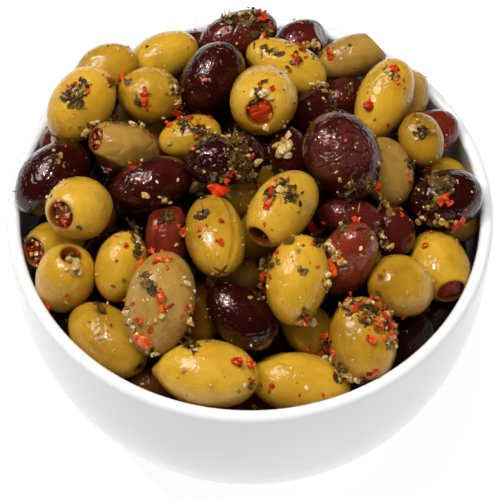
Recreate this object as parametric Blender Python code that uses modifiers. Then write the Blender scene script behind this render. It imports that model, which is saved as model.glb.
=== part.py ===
"""A round white bowl heaped with marinated olives. Metres, +Z up.

The origin is the middle of the bowl's foot, on the surface that it stands on. The bowl is one turned
piece. The heap is one solid that fills it, and its top rises and falls with the olives that lie on it.
"""
from collections import namedtuple
from math import cos, pi, radians, sin

import bpy
import numpy as np

MM = 0.001

# The bowl's driving sizes
RIM_RADIUS = 75 * MM
HEIGHT = 88 * MM
WALL = 4.1 * MM
BELLY = 0.25 * MM            # how far the widest ring stands out past the rim
BELLY_DEPTH = 11 * MM        # how far that ring lies below the rim
BODY_HALF_HEIGHT = 83 * MM
BODY_SQUARENESS = 2.38       # 2 is an ellipse, more is squarer
FLOOR_THICKNESS = 5.5 * MM
FOOT_RADIUS = 39 * MM
FOOT_HEIGHT = 3 * MM
FOOT_RING_WIDTH = 5 * MM
FOOT_RECESS = 1.6 * MM
TURNED_STEPS = 64
BODY_POINTS = 12             # along the inside, and along the outside
LIP_POINTS = 9
MERGE_DISTANCE = 0.01 * MM

# The heap's driving sizes
HEAP_CLEARANCE = 0.5 * MM    # between the heap and the bowl's wall
MOUND_RADIUS = 61 * MM       # where the outermost olives' middles lie
MOUND_TOP = 16 * MM          # those heights are above the rim, for the olives' middles
MOUND_FRONT = -5 * MM
MOUND_BACK = 5 * MM
GAP_DEPTH = 4 * MM           # how far the gaps reach below the olives' middles
BLUR = 1.6 * MM              # over which a steep edge between olives is softened
EDGE_DEPTH = 14 * MM         # how far below the rim the heap meets the wall
TOP_RINGS = 25
WALL_RINGS = 7
HEAP_STEPS = 84
SIDE_PLAY = 1.2 * MM         # how far an olive may settle sideways
SIDE_SHARE = 0.25            # how readily it goes sideways, against along the line of sight
SETTLE_ROUNDS = 160
SETTLE_PACE = 0.5            # the share of an overlap that one round clears
LAY_OUT_ROUNDS = 30
LAY_OUT_PACE = 0.7
BALLS = 5                    # balls in a row that stand for one olive while it settles
TINY = 1e-6 * MM

# Where the eye was: the rim's middle is seen at RIM_MIDDLE, in pixels of a square picture of 500
VIEW_ELEVATION = radians(56.25)
VIEW_DISTANCE = 750 * MM
VIEW_FOCAL = 2432
RIM_MIDDLE = (249.9, 206.1)

# across and down say where the olive's middle is seen, in pixels. Length and width are in millimetres.
# turn is its long axis in the picture, anticlockwise from the right, and lean tips that end towards the
# eye, both in degrees. lift raises it above the mound, in millimetres.
Olive = namedtuple("Olive", "across down length width turn lean lift")

BACK_ROWS = [
    Olive(108, 73, 22, 16, 30, 0, -2),
    Olive(159, 58, 23.5, 15.5, 23, 0, 0),
    Olive(150, 93, 20, 17.5, -12, 0, 2),
    Olive(84, 107, 26, 19, 55, 0, 2),
    Olive(123, 141, 24, 16.5, 160, 20, 0),
    Olive(56, 143, 15, 12.5, 60, 0, -8),
    Olive(192, 46, 18, 12, 0, 0, -6),
    Olive(235, 38, 26, 15.5, 18, 0, 0),
    Olive(298, 46, 16.5, 12, 75, 0, -4),
    Olive(210, 79, 25, 18.5, 60, 0, 3),
    Olive(286, 65, 27, 15.5, -24, 0, 0),
    Olive(264, 101, 25, 20.5, 250, 68, 5),
    Olive(186, 138, 20, 13.5, 15, 0, -3),
    Olive(312, 112, 17, 13.5, 50, 0, -8),
    Olive(342, 154, 27.5, 24, 100, 0, 5),
    Olive(355, 59, 20.5, 13.5, 10, -15, -3),
    Olive(387, 99, 26, 17, 65, 0, 2),
    Olive(408, 100, 17, 13, 75, 0, -8),
    Olive(432, 131, 15.5, 12, 20, 0, -8),
    Olive(419, 143, 19, 14, 110, 0, -2),
    Olive(388, 170, 22, 16.5, -75, 0, 0),
    Olive(341, 98, 17.5, 14, 20, 0, -8),
    Olive(446, 178, 15.5, 14, -40, 0, -10),
]
MIDDLE_ROWS = [
    Olive(49, 179, 28, 19, 45, 0, 2),
    Olive(82, 205, 24, 20, 200, 55, 2),
    Olive(147, 185, 25.5, 15.5, 17, 0, 0),
    Olive(223, 161, 23.5, 16.5, 5, 0, 3),
    Olive(262, 152, 18.5, 14, 90, 0, -10),
    Olive(283, 209, 28.5, 18.5, 230, 32, 5),
    Olive(215, 236, 26, 17.5, 280, 15, 3),
    Olive(163, 238, 17, 13.5, -30, 0, -5),
    Olive(121, 266, 22, 15.5, 75, 0, -2),
    Olive(57, 244, 24, 14.5, 195, 50, -3),
    Olive(350, 214, 20, 12.5, -10, 0, -5),
    Olive(396, 228, 17.5, 13, -65, 0, -5),
    Olive(444, 200, 23, 18, 15, 0, 2),
    Olive(462, 224, 13.5, 11, 0, 0, -10),
]
FRONT_ROWS = [
    Olive(67, 279, 23.5, 18, 83, 48, 2),
    Olive(161, 306, 31.5, 20.5, 77, 0, 3),
    Olive(110, 339, 28, 18.5, -41, 0, 0),
    Olive(150, 384, 15.5, 12, -20, 0, -9),
    Olive(198, 318, 19.5, 13.5, 85, 0, -10),
    Olive(232, 282, 18.5, 13.5, 20, 0, -12),
    Olive(244, 318, 24, 17, -42, 0, 0),
    Olive(294, 282, 27, 18.5, 79, 0, 3),
    Olive(350, 263, 27, 18, 70, 30, 3),
    Olive(400, 285, 21.5, 18, 157, 54, 2),
    Olive(441, 264, 25.5, 19, 294, 48, 2),
    Olive(433, 318, 14, 12, 50, 0, -14),
    Olive(405, 342, 18.5, 14, 60, 0, -8),
    Olive(362, 342, 26, 20.5, -80, 0, 2),
    Olive(309, 332, 20, 15, -40, 0, -8),
    Olive(298, 381, 29.5, 18, -8, 0, -2),
    Olive(209, 372, 32, 20.5, -4, 0, 0),
]


def clear_scene():
    for thing in list(bpy.data.objects):
        bpy.data.objects.remove(thing, do_unlink=True)


def make_material(name, colour, roughness, metallic=0.0):
    material = bpy.data.materials.new(name)
    material.use_nodes = True
    shader = material.node_tree.nodes["Principled BSDF"]
    shader.inputs["Base Color"].default_value = (*colour, 1.0)
    shader.inputs["Roughness"].default_value = roughness
    shader.inputs["Metallic"].default_value = metallic
    return material


def outer_radius(depth):
    """The bowl's outside, at a depth below the rim."""
    bulge = abs(depth - BELLY_DEPTH) / BODY_HALF_HEIGHT
    return (RIM_RADIUS + BELLY) * np.maximum(1 - bulge ** BODY_SQUARENESS, 0) ** (1 / BODY_SQUARENESS)


def inner_radius(depth):
    """The bowl's inside, at a depth below the rim."""
    deepest = HEIGHT - FLOOR_THICKNESS
    bulge = np.abs(depth - BELLY_DEPTH) / (deepest - BELLY_DEPTH)
    inside = RIM_RADIUS + BELLY - WALL
    return inside * np.maximum(1 - bulge ** BODY_SQUARENESS, 0) ** (1 / BODY_SQUARENESS)


def turned(name, profile, steps, collection):
    """Turn a list of (radius, height) points, from the top down its outer side, about Z."""
    mesh = bpy.data.meshes.new(name)
    points = [(radius, 0, height) for radius, height in profile]
    mesh.from_pydata(points, [(i, i + 1) for i in range(len(points) - 1)], [])
    piece = bpy.data.objects.new(name, mesh)
    collection.objects.link(piece)
    screw = piece.modifiers.new("Turn", "SCREW")
    screw.steps = steps
    screw.render_steps = steps
    screw.use_merge_vertices = True
    screw.merge_threshold = MERGE_DISTANCE
    return piece


def bowl_profile():
    """From the floor's middle up the inside, over the lip and down the outside to the foot."""
    lip = WALL / 2
    floor_depth = HEIGHT - FLOOR_THICKNESS
    inside = []
    for turn in np.linspace(0, pi / 2, BODY_POINTS + 1)[:-1]:
        depth = BELLY_DEPTH + (floor_depth - BELLY_DEPTH) * cos(turn) ** (2 / BODY_SQUARENESS)
        inside.append((inner_radius(depth), HEIGHT - depth))
    inside[0] = (0, HEIGHT - floor_depth)
    inside.append((inner_radius(lip * 2), HEIGHT - lip * 2))
    lip_middle = (inner_radius(lip) + outer_radius(lip)) / 2
    arc = [(lip_middle - lip * cos(turn), HEIGHT - lip + lip * sin(turn)) for turn in np.linspace(0, pi, LIP_POINTS)]
    foot_depth = HEIGHT - FOOT_HEIGHT
    outside = [(outer_radius(lip * 2.5), HEIGHT - lip * 2.5)]
    for share in np.linspace(0, 1, BODY_POINTS + 1)[1:]:
        depth = BELLY_DEPTH + (foot_depth - BELLY_DEPTH) * sin(share * pi / 2)
        outside.append((max(outer_radius(depth), FOOT_RADIUS), HEIGHT - depth))
    foot_inner = FOOT_RADIUS - FOOT_RING_WIDTH
    foot = [(FOOT_RADIUS, 0), (foot_inner, 0), (foot_inner, FOOT_RECESS), (0, FOOT_RECESS)]
    return inside + arc + outside + foot


def make_bowl(collection):
    bowl = turned("bowl", bowl_profile(), TURNED_STEPS, collection)
    bowl.data.materials.append(make_material("white_glaze", (0.88, 0.88, 0.87), 0.12))
    return bowl


def sight_lines(olives):
    """The eye's place, and the unit vectors from it through each olive's middle."""
    towards = np.array((0, cos(VIEW_ELEVATION), -sin(VIEW_ELEVATION)))
    right = np.array((1.0, 0, 0))
    up = np.cross(right, towards)
    eye = np.array((0, 0, HEIGHT)) - towards * VIEW_DISTANCE
    across = np.array([olive.across - RIM_MIDDLE[0] for olive in olives]) / VIEW_FOCAL
    down = np.array([olive.down - RIM_MIDDLE[1] for olive in olives]) / VIEW_FOCAL
    lines = towards + across[:, None] * right - down[:, None] * up
    return eye, lines / np.linalg.norm(lines, axis=1, keepdims=True), right, up


def mound_height(x, y):
    """The height of the olives' middles: a dome that is a little lower at the front."""
    out = (x * x + y * y) / MOUND_RADIUS ** 2
    edge = (MOUND_FRONT + MOUND_BACK) / 2 + (MOUND_BACK - MOUND_FRONT) / 2 * y / MOUND_RADIUS
    return HEIGHT + edge + (MOUND_TOP - edge) * (1 - out)


def lay_out(olives):
    """Each olive's middle on its line of sight at the mound's height, its axis, and its half sizes."""
    eye, lines, right, up = sight_lines(olives)
    lift = np.array([olive.lift for olive in olives]) * MM
    reach = np.full(len(olives), VIEW_DISTANCE)
    for _ in range(LAY_OUT_ROUNDS):
        middles = eye + lines * reach[:, None]
        above = middles[:, 2] - mound_height(middles[:, 0], middles[:, 1]) - lift
        reach -= LAY_OUT_PACE * above / lines[:, 2]
    turn = np.radians([olive.turn for olive in olives])[:, None]
    lean = np.radians([olive.lean for olive in olives])[:, None]
    axes = (right * np.cos(turn) + up * np.sin(turn)) * np.cos(lean) - lines * np.sin(lean)
    halves = np.array([(olive.length, olive.width) for olive in olives]) * MM / 2
    return middles, lines, axes, halves


def settle(middles, lines, axes, halves):
    """Slide the olives along their lines of sight, and a little sideways, until they only touch.

    Balls in a row stand for each olive. The bowl's wall and its lip push them in.
    """
    long, thick = halves[:, 0], halves[:, 1]
    spread = np.linspace(-1, 1, BALLS) * ((long ** 2 - thick ** 2) / long)[:, None]
    radii = thick[:, None] * np.sqrt(1 - spread ** 2 / (long ** 2 - thick ** 2)[:, None])
    offsets = spread[..., None] * axes[:, None]
    start = middles.copy()
    count = len(middles)
    owner = np.repeat(np.arange(count), BALLS)
    reach = radii.reshape(-1)
    apart = reach[:, None] + reach[None]
    lip = WALL / 2
    lip_radius = RIM_RADIUS - lip
    by_pair = (count, BALLS, count, BALLS)
    for _ in range(SETTLE_ROUNDS):
        balls = (middles[:, None] + offsets).reshape(-1, 3)
        between = balls[:, None] - balls[None]
        distance = np.linalg.norm(between, axis=2) + TINY
        overlap = np.maximum(apart - distance, 0)
        overlap[owner[:, None] == owner[None]] = 0
        push = between * (overlap / distance / 2)[..., None]
        closest = overlap.reshape(by_pair).transpose(0, 2, 1, 3).reshape(count, count, -1).argmax(2)
        push = push.reshape(*by_pair, 3).transpose(0, 2, 1, 3, 4).reshape(count, count, -1, 3)
        push = np.take_along_axis(push, closest[..., None, None], 2)[:, :, 0].sum(1)
        outward = balls * (1, 1, 0)
        ring = np.linalg.norm(outward, axis=1)
        outward /= ring[:, None]
        depth = HEIGHT - balls[:, 2]
        into_wall = np.where(depth > 0, ring + reach - inner_radius(np.maximum(depth, 0)), 0)
        wall_push = -outward * np.maximum(into_wall, 0)[:, None]
        from_lip = outward * (ring - lip_radius)[:, None] + (0, 0, 1) * (lip - depth)[:, None]
        lip_distance = np.linalg.norm(from_lip, axis=1)
        into_lip = np.where(depth < lip, np.maximum(reach + lip - lip_distance, 0), 0)
        wall_push += from_lip * (into_lip / lip_distance)[:, None]
        wall_push = wall_push.reshape(count, BALLS, 3)
        hardest = np.linalg.norm(wall_push, axis=2).argmax(1)
        push += wall_push[np.arange(count), hardest]
        along = (push * lines).sum(1, keepdims=True) * lines
        moved = middles + (along + (push - along) * SIDE_SHARE) * SETTLE_PACE - start
        along = (moved * lines).sum(1, keepdims=True) * lines
        sideways = moved - along
        drift = np.linalg.norm(sideways, axis=1, keepdims=True)
        middles = start + along + sideways * np.minimum(1, SIDE_PLAY / np.maximum(drift, TINY))
    return middles


def olive_tops(x, y, middles, axes, halves):
    """The highest olive surface above (x, y), or minus infinity in a gap."""
    long, thick = halves[:, 0], halves[:, 1]
    stretch = 1 / long ** 2 - 1 / thick ** 2
    flat = np.array((x, y)) - middles[:, :2]
    along = (flat * axes[:, :2]).sum(1)
    a = 1 / thick ** 2 + stretch * axes[:, 2] ** 2
    b = stretch * along * axes[:, 2]
    c = (flat ** 2).sum(1) / thick ** 2 + stretch * along ** 2 - 1
    inside = b * b - a * c
    hit = inside > 0
    if not hit.any():
        return -np.inf
    return (middles[hit, 2] + (np.sqrt(inside[hit]) - b[hit]) / a[hit]).max()


def heap_profile():
    """From the top's middle out to the wall, and down beside the wall to the floor's middle."""
    edge_radius = inner_radius(EDGE_DEPTH) - HEAP_CLEARANCE
    top = [(edge_radius * i / TOP_RINGS, HEIGHT - EDGE_DEPTH) for i in range(TOP_RINGS + 1)]
    floor_depth = HEIGHT - FLOOR_THICKNESS - HEAP_CLEARANCE
    side = []
    for share in np.linspace(0, 1, WALL_RINGS + 1)[1:-1]:
        depth = EDGE_DEPTH + (floor_depth - EDGE_DEPTH) * sin(share * pi / 2)
        side.append((inner_radius(depth) - HEAP_CLEARANCE * 1.5, HEIGHT - depth))
    return top + side + [(0, HEIGHT - floor_depth)]


def make_heap(collection):
    """Turn the heap's plain form, then raise its top to the olives."""
    olives = BACK_ROWS + MIDDLE_ROWS + FRONT_ROWS
    middles, lines, axes, halves = lay_out(olives)
    middles = settle(middles, lines, axes, halves)
    plain = turned("olive_heap_plain", heap_profile(), HEAP_STEPS, collection)
    evaluated = plain.evaluated_get(bpy.context.evaluated_depsgraph_get())
    mesh = bpy.data.meshes.new_from_object(evaluated)
    bpy.data.objects.remove(plain, do_unlink=True)
    top_height = HEIGHT - EDGE_DEPTH - MERGE_DISTANCE
    edge = inner_radius(EDGE_DEPTH) - HEAP_CLEARANCE - MERGE_DISTANCE
    around = ((0, 0), (BLUR, 0), (-BLUR, 0), (0, BLUR), (0, -BLUR))
    for vertex in mesh.vertices:
        x, y, z = vertex.co
        if z < top_height or (x * x + y * y) ** 0.5 > edge:
            continue
        gap = mound_height(x, y) - GAP_DEPTH
        heights = [max(olive_tops(x + dx, y + dy, middles, axes, halves), gap) for dx, dy in around]
        vertex.co.z = max(sum(heights) / len(heights), top_height)
    heap = bpy.data.objects.new("olive_heap", mesh)
    collection.objects.link(heap)
    mesh.shade_smooth()
    heap.data.materials.append(make_material("olive_skin", (0.30, 0.19, 0.05), 0.3))
    return heap


def main():
    clear_scene()
    collection = bpy.data.collections.new("bowl_of_olives")
    bpy.context.scene.collection.children.link(collection)
    make_bowl(collection)
    make_heap(collection)


main()
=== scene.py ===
"""The looks of a white bowl heaped with marinated olives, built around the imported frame.

Each olive stands on its line of sight through the photograph, at the height of the mound, and settles
until it only touches its neighbours. Lower olives fill the gaps. Chili, garlic, pepper and herbs are
dropped on the olives along the lines of sight, so they lie on what carries them from any side.
"""
from functools import partial
from itertools import product
from math import atan, cos, pi, radians, sin, tau
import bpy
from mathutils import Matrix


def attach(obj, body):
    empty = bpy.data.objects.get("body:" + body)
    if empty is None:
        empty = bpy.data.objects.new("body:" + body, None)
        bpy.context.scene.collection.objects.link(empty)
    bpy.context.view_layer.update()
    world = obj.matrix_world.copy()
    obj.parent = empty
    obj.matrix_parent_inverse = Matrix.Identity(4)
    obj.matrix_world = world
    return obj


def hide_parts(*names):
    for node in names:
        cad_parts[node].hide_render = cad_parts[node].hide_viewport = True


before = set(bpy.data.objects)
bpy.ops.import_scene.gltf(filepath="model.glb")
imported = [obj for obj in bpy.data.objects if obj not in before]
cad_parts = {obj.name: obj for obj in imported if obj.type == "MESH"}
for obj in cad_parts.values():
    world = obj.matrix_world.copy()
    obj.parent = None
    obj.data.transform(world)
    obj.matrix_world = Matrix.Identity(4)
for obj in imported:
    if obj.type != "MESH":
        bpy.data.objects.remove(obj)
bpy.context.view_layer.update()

from types import SimpleNamespace

import bmesh
import bpy
import numpy as np
from mathutils import Vector
from mathutils.bvhtree import BVHTree
from numpy.linalg import norm

MM = 0.001
random = np.random.default_rng(7)
draw = random.uniform

# The bowl, as the frame has it
RIM_RADIUS = 75 * MM
HEIGHT = 88 * MM
WALL = 4.1 * MM
BELLY = 0.25 * MM
BELLY_DEPTH = 11 * MM
BODY_HALF_HEIGHT = 83 * MM
BODY_SQUARENESS = 2.38
FLOOR_THICKNESS = 5.5 * MM
FOOT_RADIUS = 39 * MM
FOOT_HEIGHT = 3 * MM
FOOT_RING_WIDTH = 5 * MM
FOOT_RECESS = 1.6 * MM
SIDE_POINTS = 41
BOWL_STEPS = 192

# The mound, as the frame has it
MOUND_RADIUS = 61 * MM
MOUND_TOP = 16 * MM
MOUND_FRONT = -5 * MM
MOUND_BACK = 5 * MM
SIDE_PLAY = 1.2 * MM         # how far an olive may leave its line of sight
SIDE_SHARE = 0.25
LAY_ROUNDS = 30
LAY_PACE = 0.7
SETTLE_ROUNDS = 160
LOWER_ROUNDS = 60
SETTLE_PACE = 0.5
BALLS = 5                    # that stand for an olive while it settles
TINY = 1e-9

# Where the eye was: the rim's middle is seen at RIM_MIDDLE, in pixels of a picture of 500 by 500
VIEW_ELEVATION = radians(56.25)
VIEW_DISTANCE = 750 * MM
VIEW_FOCAL = 2432
RIM_MIDDLE = (249.9, 206.1)
PICTURE = 500
SENSOR = 36


def olive(kind, across, down, length, width, turn, tone=0, lean=0, lift=0, **marks):
    """One olive: where its middle is seen in pixels, its size in mm, its turn and lean in degrees, how
    light its tone is, its lift above the mound in mm, and the marks on its skin. A tone below -1 is
    painted shade on an olive lying low between others.

    turn is its head's direction in the picture, anticlockwise from the right, and lean tips the head
    towards the eye. hole is the radius of a pitting hole in the head, plug what fills it, cut the reach
    of an X cut in the head, tip how far the tail is drawn out, dimple the depth of a stem scar, wrinkle
    that of folds, cracked that of a dried skin's cracks, cleft that of a furrow along one side, egg how
    much fatter the head is than the tail, sliced the share of the head that is cut off, flats how many
    flat places it has, and roll the way its marks face, in degrees. Depths are in mm.
    """
    plain = dict(hole=0, plug=None, cut=0, tip=0, dimple=0, wrinkle=0, cracked=0, cleft=0, egg=0.04,
                 sliced=0, flats=0, roll=0)
    return SimpleNamespace(kind=kind, across=across, down=down, length=length, width=width, turn=turn,
                           tone=tone, lean=lean, lift=lift, **{**plain, **marks})


green, khaki, dark, red = (partial(olive, kind) for kind in ("green", "khaki", "dark", "red"))

# Olives lying low between others have tones below -1: that extra darkening is painted shade.
OLIVES = [
    green(108, 73, 22, 16, 30, -0.4, 0, -2),
    green(159, 57, 24, 15.5, 23, -0.05),
    green(150, 93, 20, 17.5, -12, -0.35, 0, 2),
    green(84, 107, 26, 19, 55, 0, 0, 2),
    khaki(126, 145, 28, 18, 163, -0.15, 38, hole=3.4, plug="bits", wrinkle=0.4, flats=8),
    red(56, 143, 15, 12.5, 60, -0.5, 0, -8),
    dark(192, 46, 18, 12, 0, 0.4, 0, -6),
    dark(235, 38, 26, 15.5, 18, 0.6, wrinkle=0.15),
    dark(299, 42, 20, 14.5, 25, 0.5, 0, -4, sliced=0.2),
    dark(210, 79, 25, 18.5, 60, -0.3, 0, 3),
    green(286, 65, 27, 15.5, -24, 0.2),
    green(264, 101, 25, 20.5, 250, 0.1, 68, 5, hole=3.9, plug="pimento"),
    green(186, 138, 20, 13.5, 15, -0.2, 0, -3),
    dark(312, 112, 17, 13.5, 50, -0.2, 0, -8),
    dark(342.5, 160, 28, 22.5, 120, 0.35, 0, 2, cracked=0.62, egg=0.06),
    dark(288, 154, 17, 13, 100, 0, 0, -6),
    khaki(353, 59, 25, 13.5, 18, 0, 0, -3, sliced=0.32, roll=-90),
    green(387, 100, 27, 17, 65, 0, 0, 2),
    khaki(412, 99, 18.5, 13, 75, 0.7, 0, -7, wrinkle=0.9),
    red(434, 134, 19, 14.5, 30, -0.2, 0, -8, tip=0.8),
    green(418, 142, 17.5, 13.5, 110, -0.85, 0, -3),
    khaki(390, 170, 22, 16.5, -75, -0.1),
    dark(341, 98, 17.5, 14, 20, 0.5, 0, -8, wrinkle=0.4),
    green(446, 178, 15.5, 14, -40, 0.2, 0, -10),
    dark(49, 179, 28, 19, 45, -0.5, 0, 2, wrinkle=0.1),
    green(82, 205, 24, 20, 200, 0.3, 55, 2, hole=4.2, plug="bits"),
    dark(147, 185, 26, 16, 17, -0.1, wrinkle=0.15),
    dark(222, 161, 24.5, 16.5, 5, -0.6, 0, 3, wrinkle=0.7),
    dark(262, 152, 18.5, 14, 90, 0.2, 0, -10),
    green(283, 209, 28.5, 18.5, 230, 0.2, 32, 5, hole=3.2, plug="deep"),
    green(215, 236, 29, 18, 280, -0.35, 40, 3, cut=2.9, cleft=0.6, roll=-45),
    red(163, 239, 23, 13.5, 88, 0.3, 0, -5, cleft=0.7, roll=-35, sliced=0.3),
    green(121, 266, 22, 15.5, 75, 0.1, 0, -2),
    green(57, 245, 25, 16.5, 195, -0.3, 48, -4, hole=4.1, plug="bits"),
    dark(350, 214, 20, 12.5, -10, 0.8, 0, -5, wrinkle=0.4),
    dark(396, 228, 17.5, 13, -65, 0.7, 0, -5, wrinkle=0.2),
    dark(444, 200, 23, 18, 15, -0.5, 0, 2),
    khaki(462, 224, 13.5, 11, 0, -0.5, 0, -10),
    green(67, 279, 23.5, 18, 76, 0, 48, 2, hole=2.9, plug="deep"),
    khaki(160, 308, 31.5, 20.5, 79, 0.2, 0, 3, cleft=0.3, roll=-60, wrinkle=0.15),
    green(110, 338, 29, 18.5, -41, -0.3, 24, dimple=1.1),
    green(150, 384, 15.5, 12, -20, -1.5, 0, -9),
    green(198, 318, 19.5, 13.5, 85, -1.3, 0, -10),
    khaki(232, 282, 18.5, 13.5, 20, -1.3, 0, -12, hole=2.6),
    dark(244, 318, 24.5, 17.5, -42, -0.7, wrinkle=0.1),
    green(294, 282, 27, 18.5, 79, 0.05, 0, 3),
    red(350, 262, 29, 16.5, 64, 1, 46, 3, cut=2, roll=40),
    green(400, 284, 22.5, 18, 157, -0.3, 50, 2, dimple=0.5),
    green(443, 267, 27, 19, 294, 0, 42, 2, hole=4.2, plug="dark_pimento"),
    dark(433, 318, 14, 12, 50, -1.2, 0, -14),
    dark(407, 340, 20, 14.5, 60, -1.1, 0, -8),
    green(362, 342, 26, 20.5, -80, -0.4, 0, 2),
    green(309, 332, 20, 15, -40, -0.6, 0, -8),
    green(298, 380, 31, 18.5, -8, 0, 0, -2),
    green(211, 372, 30.5, 20.5, -4, 0.2, tip=1.3, egg=0.05),
]

# Linear colours: the first is the usual skin, the second is what tone moves it towards
SKINS = {
    "green": ((0.55, 0.304, 0.018), (0.66, 0.393, 0.043)),
    "khaki": ((0.38, 0.205, 0.035), (0.48, 0.285, 0.065)),
    "dark": ((0.031, 0.0030, 0.0017), (0.092, 0.0110, 0.0065)),
    "red": ((0.130, 0.014, 0.006), (0.220, 0.034, 0.013)),
}
# Tones below -1 make a skin darker and browner still: painted shade on olives low in the heap.
DARKER = 0.42                # of a skin whose tone is -1
# Painted shade on the wall inside a pitting hole
HOLE_SHADE = np.array((0.36, 0.19, 0.13))
DRIED = np.array((0.118, 0.026, 0.018))
# The shares of red, green and blue that are lost
# Painted shade along the slits of an X cut
CUT_SHADE = (0.84, 0.9, 0.8)
IN_SCAR = (0.68, 0.78, 0.6)
IN_STAIN = (0.68, 0.60, 0.3)
# Painted shade: what the olives' undersides lose, darker and browner
UNDERSIDE_SHADE = (0.32, 0.48, 0.62)

# Places in the picture, in pixels, and sizes in mm. HERBS have a spread in pixels and a count, and STRIPS
# two ends, a count and a spread. TWIGS have a length and a heading in degrees, PEPPER a length and a width.
CHILI = [
    (74, 86, 2.8), (88, 91, 1.8), (109, 81, 3.4), (121, 76, 2.8), (144, 93, 3.2), (146, 101, 2.8),
    (116, 120, 3), (149, 136, 1.4), (134, 168, 2.5), (110, 169, 1.8), (261, 85, 1.8), (272, 89, 2),
    (262, 20, 3.8), (268, 26, 3), (263, 34, 1.8), (301, 50, 2.8), (297, 62, 3.2), (289, 70, 2.1),
    (293, 56, 1.8), (305, 57, 1.6), (330, 56, 2.8), (394, 69, 2.4), (397, 84, 1.8), (170, 125, 2.1),
    (180, 120, 1.8), (189, 119, 2.1), (197, 122, 1.7), (196, 138, 1.8), (193, 149, 1.8), (174, 113, 3.4),
    (181, 116, 1.8), (229, 174, 3), (252, 156, 1.7), (205, 80, 1.7), (370, 106, 3.2), (343, 100, 1.8),
    (352, 92, 1.6), (328, 50, 1.7), (271, 187, 2.3), (271, 194, 3), (268, 205, 2.8), (276, 181, 1.6),
    (265, 224, 1.6), (311, 226, 3), (318, 231, 3.2), (312, 244, 1.8), (355, 220, 2.5), (375, 186, 3.2),
    (382, 238, 1.8), (421, 176, 2.5), (430, 168, 2.8), (442, 201, 3.7), (446, 196, 2.5), (458, 222, 4.4),
    (449, 226, 2.1), (425, 247, 2.8), (402, 216, 1.6), (409, 181, 2.1), (250, 380, 1.4), (181, 233, 2.8),
    (178, 226, 1.7), (126, 246, 1.8), (221, 242, 2.1), (271, 277, 1.7), (278, 252, 1.8), (305, 318, 2.8),
    (302, 326, 1.6), (272, 386, 1.8), (270, 391, 1.6), (323, 395, 1.6), (130, 226, 1.7), (244, 151, 1.4),
    (220, 221, 1.8), (207, 227, 1.4), (200, 229, 1.5), (67, 230, 1.4), (335, 302, 2.6), (356, 310, 3.6),
    (350, 300, 2.6), (344, 306, 2.2), (363, 304, 2), (379, 326, 4.6), (370, 339, 3.2), (377, 308, 3.4),
    (390, 332, 2.8), (393, 325, 2.4), (372, 300, 2.2), (384, 316, 2.8), (366, 318, 2.4), (384, 338, 2),
    (388, 320, 2), (327, 346, 4.4), (328, 335, 3.2), (320, 356, 2), (322, 340, 1.8), (334, 352, 2.2),
    (342, 376, 2.6), (375, 371, 2.4), (335, 373, 1.8), (360, 381, 1.6), (349, 379, 1.8), (368, 376, 1.8),
    (145, 341, 4.6), (138, 337, 3), (161, 297, 3.2), (161, 308, 2.8), (141, 321, 3.2), (170, 306, 2),
    (186, 308, 1.6), (141, 264, 4), (161, 260, 2.6), (155, 262, 2.6), (168, 259, 2.2), (153, 252, 2.4),
    (133, 304, 1.8), (150, 330, 1.8), (48, 307, 3.6), (272, 250, 3.2), (265, 276, 3.6), (264, 290, 2.4),
    (262, 283, 1.8), (332, 267, 3.8), (236, 362, 3.8), (249, 364, 3.2),
]
GARLIC = [
    (83, 89, 2.6), (270, 99, 1.8), (270, 116, 2), (265, 128, 1.8), (283, 126, 1.8), (286, 122, 1.4),
    (144, 125, 2), (140, 121, 1.4), (108, 170, 1.8), (54, 151, 1.4), (61, 155, 2), (56, 160, 1.3),
    (244, 177, 1.6), (226, 184, 1.5), (204, 171, 1.5), (270, 170, 2.2), (282, 170, 1.6), (280, 191, 2.6),
    (265, 199, 2), (284, 197, 1.8), (272, 200, 1.4), (262, 190, 1.4), (317, 239, 2.4), (321, 243, 2),
    (325, 247, 2.4), (331, 252, 1.8), (336, 256, 2.2), (342, 260, 1.8), (312, 234, 1.6), (380, 208, 2.2),
    (385, 205, 1.6), (419, 221, 2.6), (437, 216, 1.8), (441, 219, 1.6), (433, 281, 1.8), (326, 275, 2.4),
    (328, 281, 1.8), (346, 235, 1.6), (161, 315, 2.2), (150, 321, 2.4), (155, 320, 1.6), (134, 331, 2.4),
    (137, 336, 1.6), (189, 330, 2), (188, 321, 1.3), (186, 283, 2.4), (183, 278, 1.4), (138, 275, 1.4),
    (145, 195, 2.6), (164, 200, 2.4), (170, 202, 1.6), (160, 197, 1.4), (157, 182, 1.2), (196, 351, 2),
    (182, 342, 2), (210, 80, 1.4), (66, 302, 1.4), (350, 303, 1.8), (373, 304, 2.2), (380, 304, 2.6),
    (387, 315, 2), (369, 322, 1.8), (392, 337, 2.2), (388, 344, 2), (341, 306, 1.8), (355, 379, 1.8),
    (349, 374, 1.4), (332, 360, 1.6), (327, 357, 1.4), (309, 44, 2.2), (313, 41, 1.8), (286, 44, 1.4),
    (318, 84, 2.6), (311, 84, 1.8), (325, 88, 1.4), (293, 102, 1.4), (340, 180, 2), (336, 171, 1.2),
    (298, 312, 1.8), (311, 322, 1.6), (273, 254, 1.6), (268, 287, 1.4), (263, 298, 1.4), (170, 143, 1.6),
    (199, 152, 1.4), (208, 128, 1.4), (163, 118, 1.4), (132, 180, 1.2), (118, 236, 1.6), (142, 228, 1.4),
    (244, 385, 1.4), (75, 265, 4.8), (70, 262, 3), (79, 270, 2.6), (66, 270, 2), (73, 273, 1.8),
    (284, 149, 4.8), (288, 145, 3.8), (279, 146, 3.4), (287, 154, 3.6), (280, 153, 3.2), (284, 141, 2.2),
    (248, 156, 2), (250, 150, 1.6), (238, 176, 2.2), (242, 173, 1.8), (223, 137, 1.8), (194, 187, 3.4),
    (200, 193, 2), (288, 136, 2.6), (270, 169, 3.2), (266, 128, 2),
]
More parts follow.
